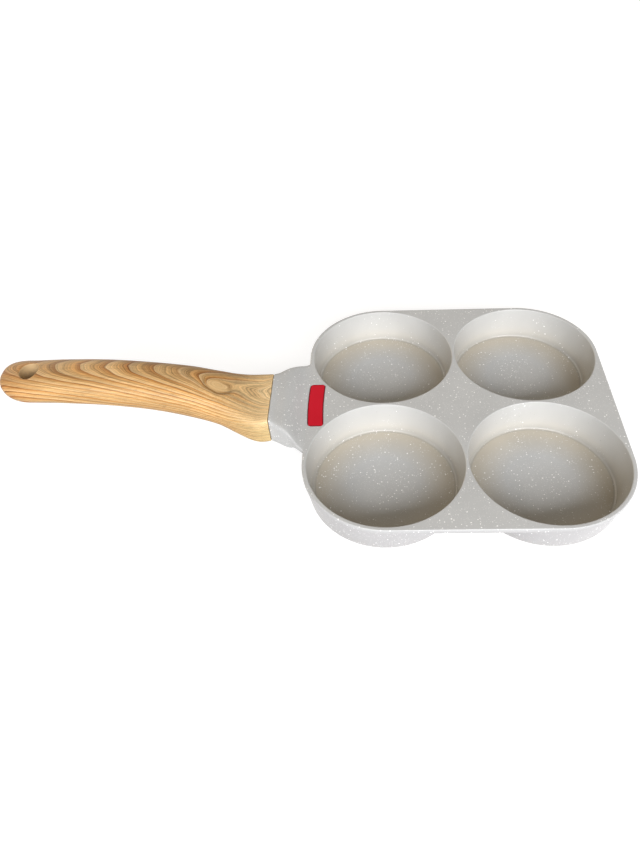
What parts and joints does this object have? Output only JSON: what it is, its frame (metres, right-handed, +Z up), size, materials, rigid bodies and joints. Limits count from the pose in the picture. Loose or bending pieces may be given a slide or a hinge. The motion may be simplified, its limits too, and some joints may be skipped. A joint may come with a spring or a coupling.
{
  "type": "divided frying pan",
  "caption": "Divided frying pan: a square cast deck with round cups, a flared neck and a curved wood-look handle with a hanging hole.",
  "frame": {"origin": "on the floor plane under the steel base discs, at the middle of the overall length and on the pan's middle plane", "axes": "+X runs from the handle's end to the deck's far side, +Y across the pan to the rear cups, +Z up"},
  "size_m": [0.3568, 0.1842, 0.0544],
  "materials": {
    "coated_aluminium": "pale grey non-stick coat with fine white specks",
    "red_enamel": "plain red, satin",
    "wood_look": "honey-coloured wood print, satin",
    "screw_steel": "zinc-plated",
    "washer_steel": "zinc-plated",
    "spring_steel": "dark zinc-plated",
    "disc_steel": "satin stainless steel"
  },
  "bodies": {
    "root": {"pan_body": "coated_aluminium", "red_plaque": "red_enamel", "handle": "wood_look", "handle_screw": "screw_steel", "flat_washer": "washer_steel", "spring_washer": "spring_steel", "base_disc_front_left": "disc_steel", "base_disc_front_right": "disc_steel", "base_disc_rear_left": "disc_steel", "base_disc_rear_right": "disc_steel"}
  },
  "joints": []
}
